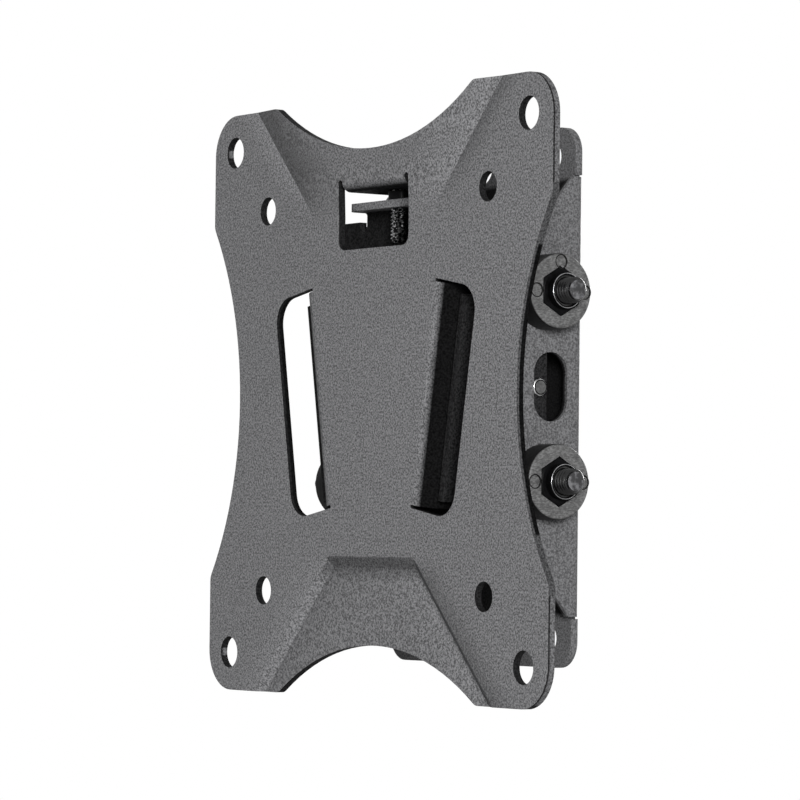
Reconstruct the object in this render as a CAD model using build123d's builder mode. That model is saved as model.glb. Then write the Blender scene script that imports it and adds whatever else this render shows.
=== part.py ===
"""Tilting tv wall bracket.

A mounting plate hangs on a tilting bracket, which turns between the two
flanges of a wall plate. Millimetres, +Z up, -Y towards the tv. The origin
is the centre of the wall plate's back face.
"""

import os
from math import cos, radians, sin, tan

from build123d import *

# Sheet and the depth of the faces, measured along Y
sheet = 1.5
vesa_front = -27.0
web_front = -18.4

# Blocks that cut the mounting plate lie between these distances in front of
# the wall; blocks that cut an open edge reach this far past it
block_front = 30.0
block_back = 20.0
edge_margin = 2.0

# Tilt centre and the bolts round it
tilt_y = -9.1
tilt_z = 1.5
bolt_radius = 17.7
tilt_limit = 7.0

# Mounting plate outline
vesa_size = 115.0
vesa_corner = 8.0
arch_top_radius = 60.5
arch_top_centre = 107.9
arch_side_radius = 64.5
arch_side_centre = 111.6
arch_blend = 2.5
vesa_large_pitch = 100.0
vesa_large_hole = 6.2
vesa_small_pitch = 75.0
vesa_small_hole = 5.6

# Raised panel at the top of the mounting plate
raised_bottom = 35.0
raised_top = 58.0
raised_height = 0.82
raised_outer_bottom = 20.5
raised_outer_top = 42.2
raised_inner_bottom = 20.3
raised_inner_top = 34.9

# Recessed panel at the foot of the mounting plate
recess_depth = 1.2
recess_outer = [(14.9, -30.8), (43.0, -60.0)]
recess_inner = [(14.1, -32.6), (40.5, -60.0)]

# Window and tab of the mounting plate
window_half = 11.9
window_bottom = 28.3
window_top = 41.6
window_corner = 2.0
notch_radius = 0.65
notch_x = 11.25
notch_z = 41.25
tab_half = 10.6
tab_under = 39.6
tab_end = -14.5
tab_corner = 2.5
tab_fold = 2.0

# Inclined slots and ears of the mounting plate
ear_lean = 9.82
ear_x = 17.34
ear_z = 0.13
slot_width = 13.7
slot_length = 43.4
slot_corner = 5.0
ear_half = 21.1
ear_fold = 4.5
ear_depth = 10.8
ear_corner = 5.0

# Tilting bracket
web_half = 28.7
web_bottom = -28.0
web_top = 34.6
web_corner = 3.0
side_step = 0.5
side_half = web_half + side_step
side_bottom = -20.4
side_top = 23.4
side_end = -4.9
side_corner = 4.2
side_relief = 0.8
side_fold = 2.0
waist_y = -7.1
waist_half = 13.6
waist_inner_corner = 1.0
waist_outer_corner = 1.1
tongue_half = 15.0
tongue_top = 37.7
tongue_front = -23.0
tongue_start = 33.0
tongue_corner = 2.0
tongue_fold = 2.0
relief_x = 16.2
relief_width = 2.4
relief_span = 2.0
lip_inner = 4.8
lip_front = 2.7
lip_half = 19.5
lip_relief = 0.5
lip_fold = 1.7
ear_window_inner = -1.7
ear_window_half = 21.9

# Wall plate
flange_gap = 0.3
flange_half = side_half + flange_gap + sheet
wall_inset = 0.9
wall_half = flange_half - wall_inset
wall_half_height = 51.0
wall_corner = 5.0
wall_fold = 1.7
flange_front = -16.0
flange_front_half = 24.8
flange_root = -2.8
flange_root_half = 41.3
flange_corner = 3.0
flange_relief = 0.4
wall_hole = 6.2
wall_hole_z = 45.0
wall_slot_width = 5.5
wall_slot_length = 8.0
wall_slot_x = 21.5
wall_slot_z = 45.5
oblong_width = 7.75
oblong_length = 13.0
oblong_y = -7.475
oblong_z = 1.6

# Tilt bolts, discs and nuts
bolt_shank = 5.0
bolt_clearance = 0.3
guide_clearance = 0.4
hex_across = 8.0
bolt_head_height = 3.5
bolt_head_end = side_half - sheet
bolt_head_start = bolt_head_end - bolt_head_height
bolt_show = 3.3
bolt_chamfer = 0.65
hex_face = 3.9
hex_slope = 60.0
disc_diameter = 14.1
disc_gap = 0.15
disc_inner = flange_half + disc_gap
disc_thickness = 5.0
disc_outer = disc_inner + disc_thickness
disc_edge = 0.6
pocket_clearance = 0.2
nut_inset = 1.95
nut_base = disc_inner + nut_inset
nut_hex_height = 3.2
nut_hex_end = nut_base + nut_hex_height
nut_collar_height = 1.8
nut_end = nut_hex_end + nut_collar_height
bolt_end = nut_end + bolt_show
nut_collar = 6.6
nut_bore = 5.1
nut_chamfer = 0.35
insert_outer = 5.8
insert_seat = 5.84
insert_above_hex = 0.2
insert_below_end = 0.4
insert_seat_gap = 0.02
insert_start = nut_hex_end + insert_above_hex
insert_end = nut_end - insert_below_end
insert_seat_start = insert_start - insert_seat_gap
dimple_radius = 1.3
dimple_depth = 0.4
dimple_circle = 5.5
dimples_upper = [0, 90, 180]
dimples_lower = [0, 180]

# Spacer rod
rod_diameter = 6.0
rod_gap = 0.05
rod_half = side_half - sheet - rod_gap
neck_diameter = 2.9
neck_clearance = 0.1
rivet_gap = 0.02
rivet_start = side_half + rivet_gap
rivet_diameter = 3.8
rivet_height = 0.85
rivet_round = 0.8

# Safety screw and its collar
screw_y = -20.6
screw_diameter = 4.0
screw_bottom = 29.5
screw_tip = 0.6
screw_tap_clearance = 0.1
screw_pass_clearance = 0.5
screw_head_bottom = 41.15
screw_head_height = 3.0
screw_head_diameter = 8.0
screw_head_edge = 0.8
drive_size = 2.5
drive_depth = 1.8
collar_diameter = 5.0
collar_bottom = 37.75
collar_top = 39.4
collar_clearance = 0.1

sides = {"right": 1, "left": -1}
levels = {"upper": 1, "lower": -1}


def lean_face(side, y):
    """Plane facing the tv, leaning with the ear; local X runs away from the middle."""
    lean = radians(ear_lean)
    return Plane(
        origin=(side * ear_x, y, ear_z),
        x_dir=(side * cos(lean), 0, -sin(lean)),
        z_dir=(0, -1, 0),
    )


def lean_section(side):
    """Plane across the ear; local Y is the depth behind the front face."""
    lean = radians(ear_lean)
    return Plane(
        origin=(side * ear_x, vesa_front, ear_z),
        x_dir=(side * cos(lean), 0, -sin(lean)),
        z_dir=(sin(lean), 0, side * cos(lean)),
    )


def bolt_plane(side, level, distance):
    """Plane across a tilt bolt, facing outwards, at a distance from the middle."""
    return Plane(
        origin=(side * distance, tilt_y, tilt_z + level * bolt_radius),
        x_dir=(0, 1, 0),
        z_dir=(side, 0, 0),
    )


def fold_section(plane, corner, leg_a, leg_b, outer_radius):
    """Section of a right-angled fold, from its sharp outer corner and two legs."""
    start = Vector(*corner)
    a = Vector(*leg_a)
    b = Vector(*leg_b)
    step_a = a.normalized() * sheet
    step_b = b.normalized() * sheet
    outline = [start, start + a, start + a + step_b, start + step_a + step_b, start + b + step_a, start + b]
    with BuildSketch(plane) as section:
        Polygon(*outline, align=None)
        fillet(vertices().sort_by_distance(start)[0], outer_radius)
        fillet(vertices().sort_by_distance(start + step_a + step_b)[0], outer_radius - sheet)
    return section.sketch


def panel_outline(outer, inner, face, height, base):
    """Corner points of the raised panel, cut across the plate."""
    return [
        (-outer, base),
        (-outer, face),
        (-inner, face - height),
        (inner, face - height),
        (outer, face),
        (outer, base),
    ]


def mirrored(points):
    """A four-cornered outline from its right-hand points."""
    return points + [(-x, z) for x, z in reversed(points)]


# Mounting plate
vesa_back = vesa_front + sheet
window_raise = raised_height * (window_top - raised_bottom) / (raised_top - raised_bottom)
tab_face = vesa_front - window_raise

with BuildPart() as vesa_plate:
    with BuildSketch(Plane.XZ.offset(-vesa_back)):
        Rectangle(vesa_size, vesa_size)
    extrude(amount=sheet)

    # Raised panel, drawn on the front and cut to the same shape behind
    with BuildSketch(Plane.XY.offset(raised_bottom)):
        Polygon(*panel_outline(raised_outer_bottom, raised_inner_bottom, vesa_front, 0.01, vesa_front + 0.5),
                align=None)
    with BuildSketch(Plane.XY.offset(raised_top)):
        Polygon(*panel_outline(raised_outer_top, raised_inner_top, vesa_front, raised_height, vesa_front + 0.5),
                align=None)
    loft(ruled=True)
    with BuildSketch(Plane.XY.offset(raised_bottom)):
        Polygon(*panel_outline(raised_outer_bottom, raised_inner_bottom, vesa_back, 0.01, vesa_back + 0.5),
                align=None)
    with BuildSketch(Plane.XY.offset(raised_top)):
        Polygon(*panel_outline(raised_outer_top, raised_inner_top, vesa_back, raised_height, vesa_back + 0.5),
                align=None)
    loft(ruled=True, mode=Mode.SUBTRACT)

    # Recessed panel, standing out behind
    with BuildSketch(Plane.XZ.offset(-vesa_back)):
        Polygon(*mirrored(recess_outer), align=None)
    with BuildSketch(Plane.XZ.offset(-vesa_back - recess_depth)):
        Polygon(*mirrored(recess_inner), align=None)
    loft(ruled=True)
    with BuildSketch(Plane.XZ.offset(-vesa_front)):
        Polygon(*mirrored(recess_outer), align=None)
    with BuildSketch(Plane.XZ.offset(-vesa_front - recess_depth)):
        Polygon(*mirrored(recess_inner), align=None)
    loft(ruled=True, mode=Mode.SUBTRACT)

    # Outline with arched sides, and the two hole patterns
    with BuildSketch(Plane.XZ.offset(block_front)):
        Rectangle(vesa_size, vesa_size)
        fillet(vertices(), vesa_corner)
        with Locations((0, arch_top_centre), (0, -arch_top_centre)):
            Circle(arch_top_radius, mode=Mode.SUBTRACT)
        with Locations((arch_side_centre, 0), (-arch_side_centre, 0)):
            Circle(arch_side_radius, mode=Mode.SUBTRACT)
        arch_ends = vertices().filter_by(lambda v: min(abs(v.X), abs(v.Y)) < vesa_size / 2 - vesa_corner - 1)
        fillet(arch_ends, arch_blend)
        with GridLocations(vesa_large_pitch, vesa_large_pitch, 2, 2):
            Circle(vesa_large_hole / 2, mode=Mode.SUBTRACT)
        with GridLocations(vesa_small_pitch, vesa_small_pitch, 2, 2):
            Circle(vesa_small_hole / 2, mode=Mode.SUBTRACT)
    extrude(amount=block_back - block_front, mode=Mode.INTERSECT)

    # Window with its corner notches
    with BuildSketch(Plane.XZ.offset(block_back)):
        with Locations((0, (window_bottom + window_top) / 2)):
            Rectangle(2 * window_half, window_top - window_bottom)
        fillet(vertices().group_by(Axis.Y)[0], window_corner)
        with Locations((notch_x, notch_z), (-notch_x, notch_z)):
            Circle(notch_radius)
    extrude(amount=block_front - block_back, mode=Mode.SUBTRACT)

    # Tab folded back from the window's top edge
    tab = fold_section(
        Plane.YZ, (tab_face, tab_under), (0, tab_fold + 1), (tab_end - tab_face, 0), tab_fold
    )
    extrude(tab, amount=tab_half, both=True)
    tab_edges = vesa_plate.edges().filter_by(Axis.Z).filter_by(lambda e: abs(e.center().Y - tab_end) < 0.01)
    fillet(tab_edges, tab_corner)
    with BuildSketch(Plane.XY.offset(tab_under - 1)):
        with Locations((0, screw_y)):
            Circle((screw_diameter + screw_pass_clearance) / 2)
    extrude(amount=4, mode=Mode.SUBTRACT)

    # Inclined slots, and the ears folded back along their inner edges
    for side in sides.values():
        with BuildSketch(lean_face(side, -block_back)):
            with Locations((slot_width / 2, 0)):
                Rectangle(slot_width, slot_length)
            fillet(vertices().group_by(Axis.X)[-1], slot_corner)
        extrude(amount=block_front - block_back, mode=Mode.SUBTRACT)
        ear = fold_section(
            lean_section(side), (ear_fold, 0), (-ear_fold - 1, 0), (0, ear_depth), ear_fold
        )
        extrude(ear, amount=ear_half, both=True)
    ear_end = vesa_front + ear_depth
    ear_edges = vesa_plate.edges().filter_by(
        lambda e: abs(e.center().Y - ear_end) < 0.01 and e.length < sheet + 0.1
    )
    fillet(ear_edges, ear_corner)

# Tilting bracket
web_back = web_front + sheet
web_flat_half = side_half - side_fold

with BuildPart() as tilt_bracket:
    with BuildSketch(Plane.XZ.offset(-web_back)):
        with Locations((0, (web_bottom + web_top) / 2)):
            Rectangle(2 * web_half, web_top - web_bottom)
        fillet(vertices(), web_corner)
        with Locations((relief_x, web_top), (-relief_x, web_top)):
            SlotCenterToCenter(relief_span, relief_width, rotation=90, mode=Mode.SUBTRACT)
        strip_z = (side_top + side_bottom) / 2
        strip_x = web_flat_half + edge_margin
        with Locations((strip_x, strip_z), (-strip_x, strip_z)):
            Rectangle(2 * edge_margin, side_top - side_bottom + 2 * side_relief, mode=Mode.SUBTRACT)
    extrude(amount=sheet)

    # Windows for the mounting plate's ears
    for side in sides.values():
        with BuildSketch(lean_face(side, web_back + 0.5)):
            with Locations(((ear_window_inner + lip_inner) / 2, 0)):
                Rectangle(lip_inner - ear_window_inner, 2 * ear_window_half)
            with Locations((lip_inner + lip_fold / 2, 0)):
                Rectangle(lip_fold, 2 * (lip_half + lip_relief))
        extrude(amount=sheet + 1, mode=Mode.SUBTRACT)

    # Side ears folded back
    for side in sides.values():
        wing = fold_section(
            Plane.XY.offset(side_bottom),
            (side * side_half, web_front),
            (-side * (side_half - web_flat_half + 1), 0),
            (0, side_end - web_front),
            side_fold,
        )
        extrude(wing, amount=side_top - side_bottom)
    wing_edges = tilt_bracket.edges().filter_by(Axis.X).filter_by(
        lambda e: abs(e.center().Y - side_end) < 0.01 and e.length < sheet + 0.1
    )
    fillet(wing_edges, side_corner)

    # Waist of the side ears, between the two lobes
    with BuildSketch(Plane.YZ):
        with Locations((waist_y + side_corner, tilt_z)):
            Rectangle(2 * side_corner, 2 * waist_half)
        fillet(vertices().group_by(Axis.X)[0], waist_inner_corner)
    extrude(amount=side_half + 1, both=True, mode=Mode.SUBTRACT)
    lobe_edges = tilt_bracket.edges().filter_by(Axis.X).filter_by(
        lambda e: abs(e.center().Y - side_end) < 0.01 and abs(abs(e.center().Z - tilt_z) - waist_half) < 0.01
    )
    fillet(lobe_edges, waist_outer_corner)

    # Flange folded forward over the window of the mounting plate
    tongue = fold_section(
        Plane.YZ,
        (web_back, tongue_top),
        (tongue_front - web_back, 0),
        (0, tongue_start - tongue_top),
        tongue_fold,
    )
    extrude(tongue, amount=tongue_half, both=True)
    tongue_edges = tilt_bracket.edges().filter_by(Axis.Z).filter_by(
        lambda e: abs(e.center().Y - tongue_front) < 0.01
    )
    fillet(tongue_edges, tongue_corner)
    with BuildSketch(Plane.XY.offset(tongue_top + 1)):
        with Locations((0, screw_y)):
            Circle((screw_diameter + screw_tap_clearance) / 2)
    extrude(amount=-4, mode=Mode.SUBTRACT)

    # Lips folded forward beside the windows
    for side in sides.values():
        lip = fold_section(
            lean_section(side),
            (lip_inner, web_back - vesa_front),
            (lip_fold + 0.3, 0),
            (0, lip_front - web_back + vesa_front),
            lip_fold,
        )
        extrude(lip, amount=lip_half, both=True)

    # Holes for the tilt bolts and for the rod's necks
    with BuildSketch(Plane.YZ):
        with Locations((tilt_y, tilt_z + bolt_radius), (tilt_y, tilt_z - bolt_radius)):
            Circle((bolt_shank + bolt_clearance) / 2)
        with Locations((tilt_y, tilt_z)):
            Circle((neck_diameter + neck_clearance) / 2)
    extrude(amount=side_half + 1, both=True, mode=Mode.SUBTRACT)

# Wall plate
guides = [
    CenterArc((tilt_y, tilt_z), bolt_radius, 90 * level - tilt_limit, 2 * tilt_limit)
    for level in levels.values()
]

with BuildPart() as wall_plate:
    with BuildSketch(Plane.XZ):
        Rectangle(2 * wall_half, 2 * wall_half_height)
        fillet(vertices(), wall_corner)
        edge_x = flange_half - wall_fold + edge_margin
        with Locations((edge_x, 0), (-edge_x, 0)):
            Rectangle(2 * edge_margin, 2 * (flange_root_half + flange_relief), mode=Mode.SUBTRACT)
        with Locations((0, wall_hole_z), (0, -wall_hole_z)):
            Circle(wall_hole / 2, mode=Mode.SUBTRACT)
        with GridLocations(2 * wall_slot_x, 2 * wall_slot_z, 2, 2):
            SlotOverall(wall_slot_length, wall_slot_width, mode=Mode.SUBTRACT)
    extrude(amount=sheet)

    for side in sides.values():
        flange = fold_section(
            Plane.XY.offset(-flange_root_half),
            (side * flange_half, 0),
            (-side * (wall_fold + 1), 0),
            (0, flange_front),
            wall_fold,
        )
        extrude(flange, amount=2 * flange_root_half)

    # Sloped ends of the flanges
    slope = (flange_root_half - flange_front_half) / (flange_root - flange_front)
    beyond = flange_front - 1
    for level in levels.values():
        trim = [
            (beyond, level * (flange_front_half - slope)),
            (flange_root, level * flange_root_half),
            (flange_root, level * wall_half_height),
            (beyond, level * wall_half_height),
        ]
        with BuildSketch(Plane.YZ):
            Polygon(*trim, align=None)
        extrude(amount=flange_half + 1, both=True, mode=Mode.SUBTRACT)
    flange_edges = wall_plate.edges().filter_by(Axis.X).filter_by(
        lambda e: abs(e.center().Y - flange_front) < 0.01
    )
    fillet(flange_edges, flange_corner)

    # Guide slots round the tilt centre, and the oblong hole beside the rod
    with BuildSketch(Plane.YZ):
        for guide in guides:
            SlotArc(guide, bolt_shank + guide_clearance)
        with Locations((oblong_y, oblong_z)):
            SlotOverall(oblong_length, oblong_width, rotation=90)
    extrude(amount=flange_half + 1, both=True, mode=Mode.SUBTRACT)

# Spacer rod, held in the ears by a riveted head at each end
with BuildPart() as spacer_rod:
    with BuildSketch(Plane.YZ):
        with Locations((tilt_y, tilt_z)):
            Circle(rod_diameter / 2)
    extrude(amount=rod_half, both=True)
    with BuildSketch(Plane.YZ):
        with Locations((tilt_y, tilt_z)):
            Circle(neck_diameter / 2)
    extrude(amount=rivet_start, both=True)
    for side in sides.values():
        with BuildSketch(Plane.YZ.offset(side * rivet_start)):
            with Locations((tilt_y, tilt_z)):
                Circle(rivet_diameter / 2)
        extrude(amount=side * rivet_height)
    rivet_rims = spacer_rod.edges().filter_by(GeomType.CIRCLE).filter_by(
        lambda e: abs(abs(e.center().X) - rivet_start - rivet_height) < 0.01
    )
    fillet(rivet_rims, rivet_round)

# Safety screw
with BuildPart() as safety_screw:
    with BuildSketch(Plane.XY.offset(screw_bottom)):
        with Locations((0, screw_y)):
            Circle(screw_diameter / 2)
    extrude(amount=screw_head_bottom - screw_bottom)
    chamfer(safety_screw.edges().group_by(Axis.Z)[0], screw_tip)
    with BuildSketch(Plane.XY.offset(screw_head_bottom)):
        with Locations((0, screw_y)):
            Circle(screw_head_diameter / 2)
    extrude(amount=screw_head_height)
    fillet(safety_screw.edges().group_by(Axis.Z)[-1], screw_head_edge)
    with BuildSketch(Plane.XY.offset(screw_head_bottom + screw_head_height)):
        with Locations((0, screw_y)):
            RegularPolygon(drive_size / 2, 6, major_radius=False)
    extrude(amount=-drive_depth, mode=Mode.SUBTRACT)

# Collar on the safety screw
with BuildPart() as screw_retainer:
    with BuildSketch(Plane.XY.offset(collar_bottom)):
        with Locations((0, screw_y)):
            Circle(collar_diameter / 2)
            Circle((screw_diameter + collar_clearance) / 2, mode=Mode.SUBTRACT)
    extrude(amount=collar_top - collar_bottom)


def hex_block(side, level, inner, outer, chamfered_end):
    """Hexagon across a bolt, with the corners sloped off at one end."""
    length = outer - inner
    wide = hex_face + length * tan(radians(hex_slope))
    from_base = (Align.CENTER, Align.CENTER, Align.MIN)
    with BuildPart() as block:
        with BuildSketch(bolt_plane(side, level, inner)):
            RegularPolygon(hex_across / 2, 6, major_radius=False, rotation=30)
        extrude(amount=length)
        with Locations(bolt_plane(side, level, inner)):
            if chamfered_end == "outer":
                Cone(wide, hex_face, length, align=from_base, mode=Mode.INTERSECT)
            else:
                Cone(hex_face, wide, length, align=from_base, mode=Mode.INTERSECT)
    return block.part


def tilt_bolt(side, level):
    """Hex bolt with its head inside the tilting bracket."""
    with BuildPart() as bolt:
        add(hex_block(side, level, bolt_head_start, bolt_head_end, "inner"))
        with BuildSketch(bolt_plane(side, level, bolt_head_end)):
            Circle(bolt_shank / 2)
        extrude(amount=bolt_end - bolt_head_end)
        tip = bolt.edges().filter_by(lambda e: abs(abs(e.center().X) - bolt_end) < 0.01)
        chamfer(tip, bolt_chamfer)
    return bolt


def friction_disc(side, level, dimples):
    """Plastic disc with a pocket that holds the lock nut."""
    with BuildPart() as disc:
        with BuildSketch(bolt_plane(side, level, disc_inner)):
            Circle(disc_diameter / 2)
        extrude(amount=disc_outer - disc_inner)
        rims = disc.edges().filter_by(lambda e: abs(abs(e.center().X) - disc_outer) < 0.01)
        fillet(rims, disc_edge)
        with BuildSketch(bolt_plane(side, level, disc_inner)):
            Circle((bolt_shank + bolt_clearance) / 2)
        extrude(amount=disc_outer - disc_inner, mode=Mode.SUBTRACT)
        with BuildSketch(bolt_plane(side, level, nut_base - 0.05)):
            RegularPolygon((hex_across + pocket_clearance) / 2, 6, major_radius=False, rotation=30)
        extrude(amount=disc_outer - nut_base + 1, mode=Mode.SUBTRACT)
        spots = [
            (dimple_circle * cos(radians(turn)), side * dimple_circle * sin(radians(turn)))
            for turn in dimples
        ]
        with BuildSketch(bolt_plane(side, level, disc_outer)):
            with Locations(*spots):
                Circle(dimple_radius)
        extrude(amount=-dimple_depth, mode=Mode.SUBTRACT)
    return disc


def lock_nut(side, level):
    """Lock nut: hexagon, round collar and a seat for the nylon ring."""
    with BuildPart() as nut:
        add(hex_block(side, level, nut_base, nut_hex_end, "outer"))
        with BuildSketch(bolt_plane(side, level, nut_hex_end)):
            Circle(nut_collar / 2)
        extrude(amount=nut_end - nut_hex_end)
        rim = nut.edges().filter_by(lambda e: abs(abs(e.center().X) - nut_end) < 0.01)
        chamfer(rim, nut_chamfer / 2)
        with BuildSketch(bolt_plane(side, level, nut_base)):
            Circle(nut_bore / 2)
        extrude(amount=nut_end - nut_base, mode=Mode.SUBTRACT)
        with BuildSketch(bolt_plane(side, level, insert_seat_start)):
            Circle(insert_seat / 2)
        extrude(amount=nut_end - insert_seat_start, mode=Mode.SUBTRACT)
    return nut


def nut_insert(side, level):
    """Nylon ring in the collar of a lock nut."""
    with BuildPart() as ring:
        with BuildSketch(bolt_plane(side, level, insert_start)):
            Circle(insert_outer / 2)
            Circle(nut_bore / 2, mode=Mode.SUBTRACT)
        extrude(amount=insert_end - insert_start)
    return ring


pieces = {
    "vesa_plate": vesa_plate,
    "tilt_bracket": tilt_bracket,
    "wall_plate": wall_plate,
    "spacer_rod": spacer_rod,
    "safety_screw": safety_screw,
    "screw_retainer": screw_retainer,
}
for side_name, side in sides.items():
    for level_name, level in levels.items():
        place = f"{level_name}_{side_name}"
        dimples = dimples_upper if level > 0 else dimples_lower
        pieces[f"tilt_bolt_{place}"] = tilt_bolt(side, level)
        pieces[f"friction_disc_{place}"] = friction_disc(side, level, dimples)
        pieces[f"lock_nut_{place}"] = lock_nut(side, level)
        pieces[f"nut_insert_{place}"] = nut_insert(side, level)

os.makedirs("parts", exist_ok=True)
for name, piece in pieces.items():
    piece.part.label = name
    export_step(piece.part, f"parts/{name}.step")
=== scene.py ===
import math

import bmesh
import bpy
from mathutils import Matrix, Vector


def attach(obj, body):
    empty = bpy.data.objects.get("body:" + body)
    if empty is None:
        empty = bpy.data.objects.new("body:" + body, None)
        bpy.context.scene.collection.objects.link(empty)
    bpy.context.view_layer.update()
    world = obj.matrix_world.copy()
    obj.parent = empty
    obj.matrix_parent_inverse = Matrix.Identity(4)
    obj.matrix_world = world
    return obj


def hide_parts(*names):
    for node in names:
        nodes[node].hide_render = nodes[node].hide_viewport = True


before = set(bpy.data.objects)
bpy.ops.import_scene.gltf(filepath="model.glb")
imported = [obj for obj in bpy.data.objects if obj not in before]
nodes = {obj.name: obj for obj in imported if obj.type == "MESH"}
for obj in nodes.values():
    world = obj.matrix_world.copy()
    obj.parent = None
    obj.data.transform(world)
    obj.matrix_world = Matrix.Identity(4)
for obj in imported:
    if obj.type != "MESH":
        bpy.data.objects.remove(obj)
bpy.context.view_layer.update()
MM = 0.001

SIDES = {"right": 1, "left": -1}
LEVELS = {"upper": 1, "lower": -1}
PLACES = [(f"{level}_{side}", SIDES[side], LEVELS[level]) for side in SIDES for level in LEVELS]

# Sizes that are the same in the CAD, in millimetres
TILT_Y = -9.1
TILT_Z = 1.5
BOLT_CIRCLE = 17.7
BOLT_HEAD_START = 24.2
BOLT_HEAD_END = 27.7
BOLT_HEAD_APOTHEM = 4.0
BOLT_RADIUS = 2.5
BOLT_END = 41.4
DISC_FACE = 36.15
DIMPLE_CIRCLE = 5.5
DIMPLE_RADIUS = 1.3
DIMPLES = {1: (0, 90, 180), -1: (0, 180)}
NUT_END = 38.1
SCREW_Y = -20.6
SCREW_BOTTOM = 29.5
RAISED_CORNER = (20.5, 35.0)
RECESS_CORNER = (14.9, -30.8)


# Shader nodes

def new_material(name, base, roughness, metallic=0.0):
    material = bpy.data.materials.new(name)
    material.use_nodes = True
    tree = material.node_tree
    shader = tree.nodes["Principled BSDF"]
    shader.inputs["Base Color"].default_value = (*base, 1)
    shader.inputs["Roughness"].default_value = roughness
    shader.inputs["Metallic"].default_value = metallic
    return material, tree, shader


def noise(tree, scale, detail=3.0, rough=0.6, stretch=None):
    """Noise in object space, with the scale in cells per metre."""
    coords = tree.nodes.new("ShaderNodeTexCoord")
    mapping = tree.nodes.new("ShaderNodeMapping")
    if stretch:
        mapping.inputs["Scale"].default_value = stretch
    texture = tree.nodes.new("ShaderNodeTexNoise")
    texture.inputs["Scale"].default_value = scale
    texture.inputs["Detail"].default_value = detail
    texture.inputs["Roughness"].default_value = rough
    tree.links.new(coords.outputs["Object"], mapping.inputs["Vector"])
    tree.links.new(mapping.outputs["Vector"], texture.inputs["Vector"])
    return texture.outputs["Fac"]


def ramp(tree, source, low, high, colour_low, colour_high):
    node = tree.nodes.new("ShaderNodeValToRGB")
    node.color_ramp.elements[0].position = low
    node.color_ramp.elements[0].color = (*colour_low, 1)
    node.color_ramp.elements[1].position = high
    node.color_ramp.elements[1].color = (*colour_high, 1)
    tree.links.new(source, node.inputs["Fac"])
    return node.outputs["Color"]


def to_range(tree, source, low, high, out_low, out_high):
    """Maps low to high onto out_low to out_high, where out_high is a number or a node's output."""
    node = tree.nodes.new("ShaderNodeMapRange")
    node.inputs["From Min"].default_value = low
    node.inputs["From Max"].default_value = high
    node.inputs["To Min"].default_value = out_low
    if isinstance(out_high, (int, float)):
        node.inputs["To Max"].default_value = out_high
    else:
        tree.links.new(out_high, node.inputs["To Max"])
    tree.links.new(source, node.inputs["Value"])
    return node.outputs["Result"]


def to_range_mm(tree, source, low, high, out_low, out_high):
    """The same for a length, with low and high in millimetres."""
    return to_range(tree, source, low * MM, high * MM, out_low, out_high)


def multiply(tree, first, second):
    node = tree.nodes.new("ShaderNodeMix")
    node.data_type = "RGBA"
    node.blend_type = "MULTIPLY"
    node.inputs["Factor"].default_value = 1.0
    tree.links.new(first, node.inputs["A"])
    tree.links.new(second, node.inputs["B"])
    return node.outputs["Result"]


def calc(tree, operation, first, second=0.0, third=None):
    """One Math node; each input is a number or another node's output."""
    node = tree.nodes.new("ShaderNodeMath")
    node.operation = operation
    for index, value in enumerate((first, second, third)):
        if value is None:
            continue
        if isinstance(value, (int, float)):
            node.inputs[index].default_value = value
        else:
            tree.links.new(value, node.inputs[index])
    return node.outputs[0]


def chain(tree, operation, values):
    total = values[0]
    for value in values[1:]:
        total = calc(tree, operation, total, value)
    return total


def both(tree, *masks):
    return chain(tree, "MULTIPLY", masks)


def most(tree, *tones):
    return chain(tree, "MAXIMUM", tones)


def least(tree, *tones):
    return chain(tree, "MINIMUM", tones)


def over(tree, value, limit):
    return calc(tree, "GREATER_THAN", value, limit)


def under(tree, value, limit):
    return calc(tree, "LESS_THAN", value, limit)


def split(tree, which):
    """X, Y and Z of the object coordinates or of the normal, both in the CAD frame."""
    coords = tree.nodes.new("ShaderNodeTexCoord")
    parts = tree.nodes.new("ShaderNodeSeparateXYZ")
    tree.links.new(coords.outputs[which], parts.inputs["Vector"])
    return parts.outputs["X"], parts.outputs["Y"], parts.outputs["Z"]


def lean_normal(tree, normal, lean):
    """Adds a vector of the object's frame to the normal."""
    turn = tree.nodes.new("ShaderNodeVectorTransform")
    turn.vector_type = "VECTOR"
    turn.convert_from = "OBJECT"
    turn.convert_to = "WORLD"
    tree.links.new(lean, turn.inputs["Vector"])
    total = tree.nodes.new("ShaderNodeVectorMath")
    tree.links.new(normal, total.inputs[0])
    tree.links.new(turn.outputs["Vector"], total.inputs[1])
    unit = tree.nodes.new("ShaderNodeVectorMath")
    unit.operation = "NORMALIZE"
    tree.links.new(total.outputs["Vector"], unit.inputs[0])
    return unit.outputs["Vector"]


def add_bump(tree, shader, heights, edge, lean=None):
    """Rounds the edges over a radius, leans the normal, then adds each height map on top."""
    bevel = tree.nodes.new("ShaderNodeBevel")
    bevel.samples = 4
    bevel.inputs["Radius"].default_value = edge * MM
    normal = bevel.outputs["Normal"]
    if lean:
        normal = lean_normal(tree, normal, lean)
    for height, distance, strength in heights:
        bump = tree.nodes.new("ShaderNodeBump")
        bump.inputs["Distance"].default_value = distance * MM
        bump.inputs["Strength"].default_value = strength
        tree.links.new(height, bump.inputs["Height"])
        tree.links.new(normal, bump.inputs["Normal"])
        normal = bump.outputs["Normal"]
    tree.links.new(normal, shader.inputs["Normal"])


# Powder-coated sheet

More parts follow.
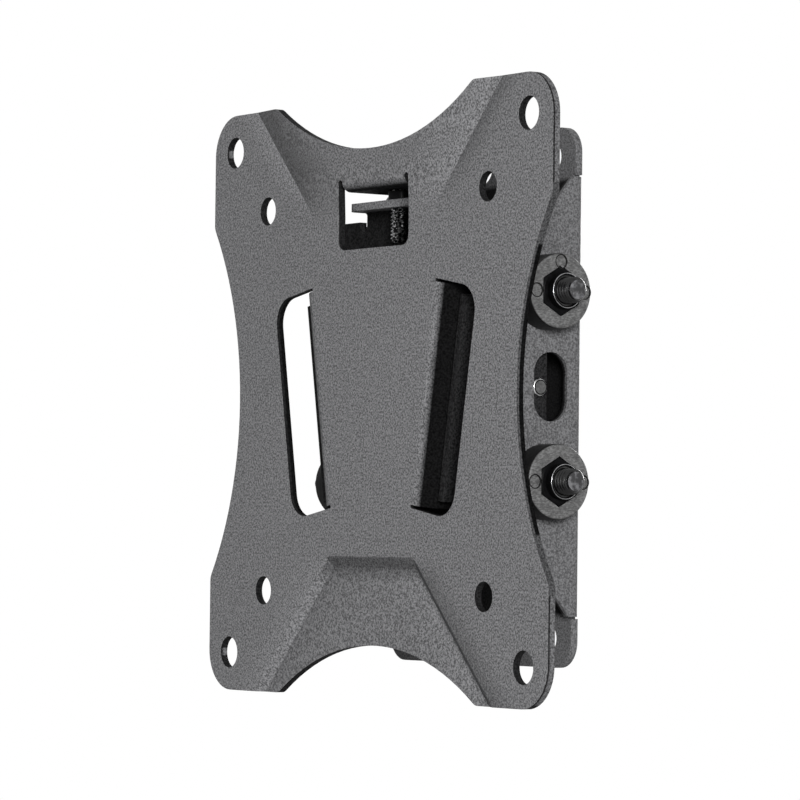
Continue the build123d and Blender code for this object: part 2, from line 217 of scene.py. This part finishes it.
def powder_coat(name, grey, grain=0.55, specular=0.15, shade=None, stamp=None):
    """Fine-textured powder coat: closely set grains, a slow drift of tone and small dull patches; a given
    shade map is painted shade on the colour and the specular level.
    """
    material, tree, shader = new_material(name, (grey, grey, grey * 1.03), 0.55)
    shader.inputs["Specular IOR Level"].default_value = specular
    fine = noise(tree, 2700, 2.0, 0.6)
    coarse = noise(tree, 1200, 2.0, 0.5)
    drift = noise(tree, 18, 2.0, 0.5)
    low = grey * (1 - grain)
    high = grey * (1 + grain * 1.5)
    colour = ramp(tree, fine, 0.37, 0.64, (low, low, low * 1.03), (high, high, high * 1.03))
    tone = ramp(tree, drift, 0.3, 0.7, (0.93, 0.93, 0.93), (1.0, 1.0, 1.0))
    colour = multiply(tree, colour, tone)
    # Painted shade: the shade map darkens the colour and lowers the specular level with it.
    if shade:
        colour = multiply(tree, colour, shade(tree))
        shaded_specular = calc(tree, "MULTIPLY", shade(tree), specular)
        tree.links.new(shaded_specular, shader.inputs["Specular IOR Level"])
    tree.links.new(colour, shader.inputs["Base Color"])
    tree.links.new(to_range(tree, coarse, 0.35, 0.65, 0.46, 0.64), shader.inputs["Roughness"])
    lean = stamp(tree) if stamp else None
    add_bump(tree, shader, [(coarse, 0.07, 0.45), (fine, 0.05, 0.55)], 0.22, lean)
    return material


def cut_edge_shade(tree, x, y, z):
    """Painted shade on the plate's cut edges, less on those of the waist, with a thin darker line along the
    front of the outer corners.
    """
    wide = calc(tree, "ABSOLUTE", x)
    high = calc(tree, "ABSOLUTE", z)
    corners = both(tree, over(tree, wide, 53 * MM), over(tree, high, 37 * MM))
    waist = both(tree, over(tree, wide, 40.4 * MM), under(tree, high, 37 * MM))
    waist_tone = calc(tree, "MULTIPLY_ADD", waist, 0.25, 0.08)
    front_shade_line = to_range_mm(tree, y, -26.7, -26.5, 0.1, 0.6)
    tone = most(tree, waist_tone, both(tree, corners, front_shade_line))
    across = calc(tree, "ABSOLUTE", split(tree, "Normal")[1])
    side = to_range(tree, across, 0.15, 0.45, 1, 0)
    return to_range(tree, side, 0, 1, 1, tone)


def recess_rim_shade(tree, x, z):
    """Painted shade on the top of the recess at the plate's foot, and on its steep side that turns to -X."""
    wide = calc(tree, "ABSOLUTE", x)
    rim = to_range_mm(tree, z, -35.5, -32.5, 1, 0.55)
    outside = to_range_mm(tree, calc(tree, "ADD", wide, z), -17.5, -16, 0, 1)
    top = most(tree, rim, over(tree, z, -30.5 * MM), outside)
    normal_x, normal_y, _ = split(tree, "Normal")
    forward = over(tree, calc(tree, "ABSOLUTE", normal_y), 0.6)
    steep = both(tree, under(tree, normal_x, -0.2), under(tree, z, -31 * MM), forward)
    return least(tree, top, to_range(tree, steep, 0, 1, 1, 0.4))


def punched_plate_shade(tree):
    """Painted shade on cut edges, and on the ears and the tab's bend behind the sheet."""
    x, y, z = split(tree, "Object")
    behind = to_range_mm(tree, y, -26.95, -26.35, 1, 0.03)
    past_ears = to_range_mm(tree, calc(tree, "ABSOLUTE", z), 26, 27, 0, 1)
    ears = most(tree, behind, past_ears)
    bend = to_range_mm(tree, y, -27.2, -26.3, 1, 0.06)
    beside_tab = over(tree, calc(tree, "ABSOLUTE", x), 11.2 * MM)
    below_tab = to_range_mm(tree, z, 37.5, 38, 1, 0)
    tab = most(tree, bend, beside_tab, below_tab)
    tone = least(tree, ears, cut_edge_shade(tree, x, y, z), tab, recess_rim_shade(tree, x, z))
    return most(tree, tone, over(tree, split(tree, "Normal")[1], 0.7))


def channel_shade(tree):
    """Painted shade on the wall plate inside the channel; its outer faces, ends and back keep the full tone.
    """
    x, _, z = split(tree, "Object")
    outer = to_range_mm(tree, calc(tree, "ABSOLUTE", x), 30, 30.4, 0.1, 1)
    ends = to_range_mm(tree, calc(tree, "ABSOLUTE", z), 40.5, 41.5, 0, 1)
    back = over(tree, split(tree, "Normal")[1], 0.5)
    return most(tree, outer, ends, back)


def shade_outside_tongue(tree):
    """The bracket's tongue keeps the coat's tone; everywhere else, the shaded inside, gets painted shade."""
    _, y, z = split(tree, "Object")
    tongue = both(tree, under(tree, y, -19.5 * MM), over(tree, z, 32.5 * MM))
    return to_range(tree, tongue, 0, 1, 0.1, 1)


def past_line(tree, x, z, corner, direction):
    """How far a point lies past a line through the corner, square to the direction, in metres."""
    sideways = calc(tree, "MULTIPLY", calc(tree, "SUBTRACT", x, corner[0] * MM), direction[0])
    upwards = calc(tree, "MULTIPLY", calc(tree, "SUBTRACT", z, corner[1] * MM), direction[1])
    return calc(tree, "ADD", sideways, upwards)


def rolled(tree, distance, inside, inside_reach, outside, outside_reach):
    """Lean beside a pressed crease: one way inside it, the other way outside, fading with distance."""
    near = both(tree, to_range_mm(tree, distance, -inside_reach, 0, 0, 1), under(tree, distance, 0))
    far = both(tree, to_range_mm(tree, distance, 0, outside_reach, 1, 0), over(tree, distance, 0))
    return calc(tree, "SUBTRACT", both(tree, near, inside), both(tree, far, outside))


def stamped_panels(tree):
    """Leans the normal beside the creases of the raised and the recessed panel, as rolled sheet does."""
    x, _, z = split(tree, "Object")
    wide = calc(tree, "ABSOLUTE", x)
    raised = past_line(tree, wide, z, RAISED_CORNER, (0.727, -0.687))
    top = both(tree, rolled(tree, raised, 0.68, 13, 0.45, 5.5), to_range_mm(tree, z, 34, 44, 0, 1))
    recess = past_line(tree, wide, z, RECESS_CORNER, (0.72, 0.693))
    foot = both(tree, rolled(tree, recess, 0.25, 12, 0.4, 6), to_range_mm(tree, z, -30, -34, 0, 1))
    front = to_range(tree, split(tree, "Normal")[1], -0.9, -0.95, 0, 1)
    sideways = both(tree, calc(tree, "ADD", top, foot), 0.72, calc(tree, "SIGN", x), front)
    upwards = both(tree, calc(tree, "SUBTRACT", foot, top), 0.69, front)
    join = tree.nodes.new("ShaderNodeCombineXYZ")
    tree.links.new(sideways, join.inputs["X"])
    tree.links.new(upwards, join.inputs["Z"])
    return join.outputs["Vector"]


# Plastic and bare metal

def moulded_plastic(name, grey, rim=1.0):
    """Moulded plastic: a satin skin with flow marks and fine scuffs, and painted shade, set by rim, on faces
    that don't face along X, such as the discs' round sides.
    """
    material, tree, shader = new_material(name, (grey, grey, grey * 1.04), 0.45)
    shader.inputs["Specular IOR Level"].default_value = 0.15
    cloud = noise(tree, 600, 4.0, 0.65)
    scuff = noise(tree, 1500, 3.0, 0.7, (1.0, 1.0, 2.5))
    colour = ramp(tree, cloud, 0.35, 0.65, (grey * 0.78,) * 3, (grey * 1.22,) * 3)
    specks = ramp(tree, scuff, 0.42, 0.62, (0.68,) * 3, (1.45,) * 3)
    # Painted shade: faces that don't face along X are darkened to the rim factor.
    faces = calc(tree, "ABSOLUTE", split(tree, "Normal")[0])
    side = to_range(tree, faces, 0.5, 0.8, rim, 1)
    tree.links.new(multiply(tree, multiply(tree, colour, specks), side), shader.inputs["Base Color"])
    tree.links.new(to_range(tree, scuff, 0.3, 0.7, 0.38, 0.55), shader.inputs["Roughness"])
    add_bump(tree, shader, [(cloud, 0.02, 0.35), (scuff, 0.02, 0.5)], 0.12)
    return material


def plated(name, colour, dark, roughness, scale=700, metallic=1.0, specular=0.5, spread=(0.3, 0.72),
           shaded_side_tone=1.0):
    """Plated or blackened steel with mottling and turned marks, and painted shade on the side towards +X."""
    material, tree, shader = new_material(name, colour, roughness, metallic)
    shader.inputs["Specular IOR Level"].default_value = specular
    mottle = noise(tree, scale, 4.0, 0.6)
    marks = noise(tree, 1600, 2.0, 0.6, (5.0, 1.0, 1.0))
    tone = ramp(tree, mottle, *spread, dark, colour)
    # Painted shade on faces that turn towards +X.
    if shaded_side_tone < 1:
        tone = multiply(tree, tone, to_range(tree, split(tree, "Normal")[0], 0.1, 0.5, 1, shaded_side_tone))
    tree.links.new(tone, shader.inputs["Base Color"])
    gloss = to_range(tree, marks, 0.3, 0.7, roughness * 0.75, roughness * 1.25)
    tree.links.new(gloss, shader.inputs["Roughness"])
    add_bump(tree, shader, [(marks, 0.012, 0.35)], 0.06)
    return material


def rivet_steel(name):
    """Steel of the rod's riveted heads: a dull crown inside a dark ring of painted shade, and a rolled rim
    painted bright as a highlight.
    """
    material, tree, shader = new_material(name, (0.4, 0.4, 0.4), 0.22, 1.0)
    _, y, z = split(tree, "Object")
    across = calc(tree, "POWER", calc(tree, "SUBTRACT", y, TILT_Y * MM), 2)
    up = calc(tree, "POWER", calc(tree, "SUBTRACT", z, TILT_Z * MM), 2)
    radius = calc(tree, "SQRT", calc(tree, "ADD", across, up))
    # Painted shade in the dark ring round the crown, and a painted highlight on the rolled rim.
    crown = to_range_mm(tree, radius, 1.15, 1.25, 0.12, 0.01)
    rim = to_range_mm(tree, radius, 1.4, 1.5, 0, 0.55)
    marks = noise(tree, 1600, 3.0, 0.6)
    tone = both(tree, most(tree, crown, rim), to_range(tree, marks, 0.3, 0.7, 0.6, 1.3))
    tree.links.new(tone, shader.inputs["Base Color"])
    tree.links.new(to_range(tree, marks, 0.3, 0.7, 0.15, 0.3), shader.inputs["Roughness"])
    add_bump(tree, shader, [(marks, 0.02, 0.4)], 0.1)
    return material


def black_steel(name, base, dark, roughness, specular, **more):
    """Blackened steel: a dark oxide that doesn't reflect as a metal."""
    return plated(name, base, dark, roughness, metallic=0.0, specular=specular, **more)


coat = powder_coat("powder_coat", 0.128, shade=punched_plate_shade, stamp=stamped_panels)
# The wall plate has the plate's coat, given a darker grey as painted shade because the key lamp falls more
# squarely on its flange.
coat_side = powder_coat("powder_coat_wall_plate", 0.085, grain=0.45, shade=channel_shade)
coat_inner = powder_coat("powder_coat_bracket", 0.13, shade=shade_outside_tongue)
# rim=0.04 paints shade on the discs' round sides.
plastic = moulded_plastic("disc_plastic", 0.085, rim=0.04)
black_nut = black_steel("black_nut", (0.005, 0.005, 0.0055), (0.002, 0.002, 0.002), 0.35, 0.02)
black_bolt = black_steel("black_bolt", (0.006, 0.006, 0.0065), (0.002, 0.002, 0.002), 0.2, 0.35)
# A bright metal hoop on each nut's rim: bare wear, and a painted highlight along the rim.
bare_rim_and_highlight = plated("bare_rim_and_highlight", (0.5, 0.5, 0.51), (0.22, 0.22, 0.225), 0.3)
bare_tip = black_steel(
    "bare_tip", (0.1, 0.1, 0.105), (0.008, 0.008, 0.009), 0.45, 0.5, scale=900, spread=(0.44, 0.6)
)
outline = black_steel("dimple_outline", (0.012, 0.012, 0.012), (0.006, 0.006, 0.006), 0.5, 0.1)
screw_head = black_steel("screw_head", (0.03, 0.03, 0.032), (0.01, 0.01, 0.011), 0.3, 0.4)
# The screw thread gets painted shade on its side towards +X.
screw_grey = plated(
    "screw_steel", (0.85, 0.85, 0.86), (0.008, 0.008, 0.008), 0.35, scale=1900, spread=(0.5, 0.57),
    shaded_side_tone=0.15,
)
nylon = moulded_plastic("nylon_ring", 0.02)
rivet = rivet_steel("rivet_steel")


def dress(name, material):
    for slot in nodes[name].material_slots:
        slot.material = material


dress("vesa_plate", coat)
dress("tilt_bracket", coat_inner)
dress("wall_plate", coat_side)
dress("spacer_rod", rivet)
dress("screw_retainer", black_nut)
for place, side, level in PLACES:
    dress(f"friction_disc_{place}", plastic)
    dress(f"lock_nut_{place}", black_nut)
    dress(f"nut_insert_{place}", nylon)


# Rings of points along local +Z, in millimetres

ROUND = 48
DIMPLE_ROUND = 32
THREAD_STEPS = 10
BOLT_THREAD = {"crest": 2.42, "root": 2.05, "pitch": 0.8}
SCREW_THREAD = {"crest": 1.97, "root": 1.62, "pitch": 0.7}
NUT_RIM = 3.2


def ring_of(radius, z, segments=ROUND):
    """One ring; the radius is a number or a function of the angle."""
    points = []
    for j in range(segments):
        angle = 2 * math.pi * j / segments
        r = radius(angle) if callable(radius) else radius
        points.append((r * math.cos(angle), r * math.sin(angle), z))
    return points


def thread_rows(start, end, crest, root, pitch):
    """Rings that follow a helical thread."""
    rows = []
    count = int(math.ceil((end - start) / (pitch / THREAD_STEPS)))
    for i in range(count + 1):
        z = start + (end - start) * i / count

        def radius(angle):
            phase = (z / pitch - angle / (2 * math.pi)) % 1.0
            wave = 1 - abs(2 * phase - 1)
            return root + (crest - root) * min(1.0, max(0.0, (wave - 0.08) / 0.8))

        rows.append(ring_of(radius, z))
    return rows


def hoop_rows(radius, thickness, z, steps, segments=ROUND):
    """Rings round the section of a thin hoop."""
    rows = []
    for i in range(steps):
        angle = 2 * math.pi * i / steps
        across = radius + thickness * math.cos(angle)
        rows.append(ring_of(across, z + thickness * math.sin(angle), segments))
    return rows


def hexagon(apothem, corner=None):
    """Radius of a hexagon at an angle, its corners cut back to a circle where one is given."""
    def radius(angle):
        within = (angle + math.pi / 6) % (math.pi / 3) - math.pi / 6
        r = apothem / math.cos(within)
        return min(r, corner) if corner else r
    return radius


def tapered(rows, start, slope):
    """Rings drawn in to a cone that starts at a radius and widens along Z."""
    result = []
    for ring in rows:
        limit = start + ring[0][2] * slope
        shares = [min(1, limit / math.hypot(x, y)) for x, y, z in ring]
        result.append([(x * share, y * share, z) for (x, y, z), share in zip(ring, shares)])
    return result


# Pieces of the scene

def shade_smooth(obj, degrees):
    """Smooth shading with the sharp edges kept, by marking edges over an angle."""
    data = bmesh.new()
    data.from_mesh(obj.data)
    for face in data.faces:
        face.smooth = True
    for edge in data.edges:
        edge.smooth = len(edge.link_faces) == 2 and edge.calc_face_angle(0.0) < math.radians(degrees)
    data.to_mesh(obj.data)
    data.free()


def through_rings(name, rows, matrix, material, closed, degrees):
    """A surface through rings of equal length, capped at both ends or closed on itself as a hoop."""
    data = bmesh.new()
    loops = [[data.verts.new(Vector(point) * MM) for point in ring] for ring in rows]
    following = loops[1:] + loops[:1] if closed else loops[1:]
    for first, second in zip(loops, following):
        count = len(first)
        for j in range(count):
            after = (j + 1) % count
            data.faces.new((first[j], first[after], second[after], second[j]))
    if not closed:
        data.faces.new(list(reversed(loops[0])))
        data.faces.new(loops[-1])
    bmesh.ops.recalc_face_normals(data, faces=data.faces)
    mesh = bpy.data.meshes.new(name)
    data.to_mesh(mesh)
    data.free()
    obj = bpy.data.objects.new(name, mesh)
    bpy.context.scene.collection.objects.link(obj)
    obj.data.transform(matrix)
    obj.data.materials.append(material)
    shade_smooth(obj, degrees)
    return obj


def skin(name, rows, matrix, material, node=None):
    """A capped piece on the head, in place of a node of the CAD where one is named."""
    obj = through_rings(name, rows, matrix, material, False, 40)
    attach(obj, "head")
    if node:
        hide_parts(node)


def hoop(name, rows, matrix, material):
    """A thin closed ring on the head."""
    obj = through_rings(name, rows, matrix, material, True, 80)
    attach(obj, "head")


def along_x(side, level):
    """Places local +Z along the bolt's axis, pointing outwards."""
    turn = Matrix.Rotation(side * math.pi / 2, 4, "Y")
    at = Matrix.Translation(Vector((0, TILT_Y, TILT_Z + level * BOLT_CIRCLE)) * MM)
    return at @ turn


def bolt_rows():
    """A hex head with cut corners, a plain shank, a thread and a short lead-in."""
    inner = hexagon(BOLT_HEAD_APOTHEM, 4.2)
    outer = hexagon(BOLT_HEAD_APOTHEM, 4.6)
    head = [
        ring_of(inner, BOLT_HEAD_START), ring_of(outer, BOLT_HEAD_START + 0.5), ring_of(outer, BOLT_HEAD_END),
    ]
    shank = [ring_of(BOLT_RADIUS, BOLT_HEAD_END), ring_of(BOLT_RADIUS, BOLT_END - 5.4)]
    thread = thread_rows(BOLT_END - 5.2, BOLT_END - 0.5, **BOLT_THREAD)
    lead_in = [ring_of(2.0, BOLT_END - 0.4), ring_of(1.86, BOLT_END - 0.05)]
    return head + shank + thread + lead_in


def tip_rows():
    """The bare end face of a bolt, a thin disc."""
    return [ring_of(1.8, BOLT_END - 0.1), ring_of(1.8, BOLT_END - 0.01), ring_of(1.72, BOLT_END + 0.02)]


def dimple_place(side, level, degrees):
    """The centre of a moulding dimple on a disc's outer face, with local +Z along X."""
    angle = math.radians(degrees)
    centre = Vector((
        side * DISC_FACE,
        TILT_Y + DIMPLE_CIRCLE * math.cos(angle),
        TILT_Z + level * BOLT_CIRCLE + DIMPLE_CIRCLE * math.sin(angle),
    ))
    return Matrix.Translation(centre * MM) @ Matrix.Rotation(math.pi / 2, 4, "Y")


for place, side, level in PLACES:
    axis = along_x(side, level)
    skin(f"bolt_{place}", bolt_rows(), axis, black_bolt, f"tilt_bolt_{place}")
    skin(f"bolt_tip_{place}", tip_rows(), axis, bare_tip)
    for number, degrees in enumerate(DIMPLES[level]):
        edge = hoop_rows(DIMPLE_RADIUS, 0.1, 0, 8, DIMPLE_ROUND)
        lie = dimple_place(side, level, degrees)
        hoop(f"dimple_edge_{place}_{number}", edge, lie, outline)
    # Each nut's rim hoop is bare wear and a painted highlight.
    hoop(f"nut_rim_{place}", hoop_rows(NUT_RIM, 0.08, NUT_END - 0.02, 10), axis, bare_rim_and_highlight)

# The safety screw: a tapered threaded shank and a cap head with a hex socket
SHANK = 11.7
CAP_RADIUS = 3.95
CAP_TOP = 14.62
SOCKET = hexagon(1.25)
screw_rows = tapered(thread_rows(0, SHANK, **SCREW_THREAD), 1.35, 1.0)
cap_side = [ring_of(3.7, SHANK), ring_of(CAP_RADIUS, SHANK + 0.25), ring_of(CAP_RADIUS, CAP_TOP - 0.62)]
cap_top = [ring_of(3.75, CAP_TOP - 0.22), ring_of(3.3, CAP_TOP), ring_of(1.75, CAP_TOP)]
cap_socket = [ring_of(SOCKET, CAP_TOP - 0.32), ring_of(SOCKET, CAP_TOP - 1.72), ring_of(0.3, CAP_TOP - 2.02)]
cap_rows = cap_side + cap_top + cap_socket
screw_place = Matrix.Translation(Vector((0, SCREW_Y, SCREW_BOTTOM)) * MM)
skin("safety_screw_thread", screw_rows, screw_place, screw_grey, "safety_screw")
skin("safety_screw_head", cap_rows, screw_place, screw_head, "safety_screw")


# Floor, in metres

FLOOR_RADIUS = 0.45
FLOOR_Z = -0.16
FLOOR_SIDES = 96


def floor_material():
    """Pale diffuse floor that the camera sees a little lighter, so that it meets the white background."""
    material = bpy.data.materials.new("floor")
    material.use_nodes = True
    tree = material.node_tree
    tree.nodes.clear()
    output = tree.nodes.new("ShaderNodeOutputMaterial")
    diffuse = tree.nodes.new("ShaderNodeBsdfDiffuse")
    diffuse.inputs["Color"].default_value = (0.8, 0.8, 0.8, 1)
    glow = tree.nodes.new("ShaderNodeEmission")
    path = tree.nodes.new("ShaderNodeLightPath")
    lift = calc(tree, "MULTIPLY", path.outputs["Is Camera Ray"], 0.5)
    join = tree.nodes.new("ShaderNodeAddShader")
    tree.links.new(lift, glow.inputs["Strength"])
    tree.links.new(diffuse.outputs[0], join.inputs[0])
    tree.links.new(glow.outputs[0], join.inputs[1])
    tree.links.new(join.outputs[0], output.inputs["Surface"])
    return material


floor_mesh = bpy.data.meshes.new("floor")
floor_rim = [(x, y, FLOOR_Z) for x, y, _ in ring_of(FLOOR_RADIUS, 0, FLOOR_SIDES)]
floor_mesh.from_pydata(floor_rim, [], [tuple(range(FLOOR_SIDES))])
floor = bpy.data.objects.new("floor", floor_mesh)
bpy.context.scene.collection.objects.link(floor)
floor.data.materials.append(floor_material())


# World: white where the camera looks at it, also through or off a piece, and a faint light elsewhere

world = bpy.data.worlds.new("studio")
bpy.context.scene.world = world
world.use_nodes = True
tree = world.node_tree
tree.nodes.clear()
output = tree.nodes.new("ShaderNodeOutputWorld")
ambient = tree.nodes.new("ShaderNodeBackground")
ambient.inputs["Color"].default_value = (1, 1, 1, 1)
ambient.inputs["Strength"].default_value = 0.09
seen = tree.nodes.new("ShaderNodeBackground")
seen.inputs["Color"].default_value = (1, 1, 1, 1)
seen.inputs["Strength"].default_value = 1.0
path = tree.nodes.new("ShaderNodeLightPath").outputs
looked_at = most(tree, path["Is Camera Ray"], path["Is Transmission Ray"], path["Is Glossy Ray"])
mix = tree.nodes.new("ShaderNodeMixShader")
tree.links.new(looked_at, mix.inputs["Fac"])
tree.links.new(ambient.outputs[0], mix.inputs[1])
tree.links.new(seen.outputs[0], mix.inputs[2])
tree.links.new(mix.outputs[0], output.inputs["Surface"])


# Lamps: a low key from the photo's right, a soft fill in front and a weak one for the back

def area_light(name, at, size, power):
    """A round lamp that points at the origin."""
    lamp = bpy.data.lights.new(name, "AREA")
    lamp.shape = "DISK"
    lamp.size = size
    lamp.energy = power
    obj = bpy.data.objects.new(name, lamp)
    bpy.context.scene.collection.objects.link(obj)
    obj.location = at
    obj.rotation_euler = (-Vector(at)).to_track_quat("-Z", "Y").to_euler()


area_light("key", (1.23, -0.65, 0.2), 0.45, 30.0)
area_light("fill", (-0.2, -1.15, 0.6), 0.6, 2.0)
area_light("back", (-0.75, 1.15, 0.35), 0.6, 9.0)


# Camera, fitted to the plate's holes and outline in the photo

CAMERA_AT = (640.11, -455.82, -28.10)
AZIMUTH = math.radians(55.7742)
ELEVATION = math.radians(-2.0386)
ROLL = math.radians(0.66567)
FOCAL_PIXELS = 4053.50
PHOTO_PIXELS = 800
SENSOR = 36

back = Vector((
    math.sin(AZIMUTH) * math.cos(ELEVATION),
    -math.cos(AZIMUTH) * math.cos(ELEVATION),
    math.sin(ELEVATION),
))
right = Vector((math.cos(AZIMUTH), math.sin(AZIMUTH), 0))
up = back.cross(right)
right_rolled = math.cos(ROLL) * right + math.sin(ROLL) * up
up_rolled = math.cos(ROLL) * up - math.sin(ROLL) * right
turn = Matrix((right_rolled, up_rolled, back)).transposed()
lens = bpy.data.cameras.new("camera")
lens.sensor_width = SENSOR
lens.lens = FOCAL_PIXELS * SENSOR / PHOTO_PIXELS
camera = bpy.data.objects.new("camera", lens)
bpy.context.scene.collection.objects.link(camera)
camera.matrix_world = Matrix.Translation(Vector(CAMERA_AT) * MM) @ turn.to_4x4()
bpy.context.scene.camera = camera
bpy.context.scene.view_settings.view_transform = "Standard"
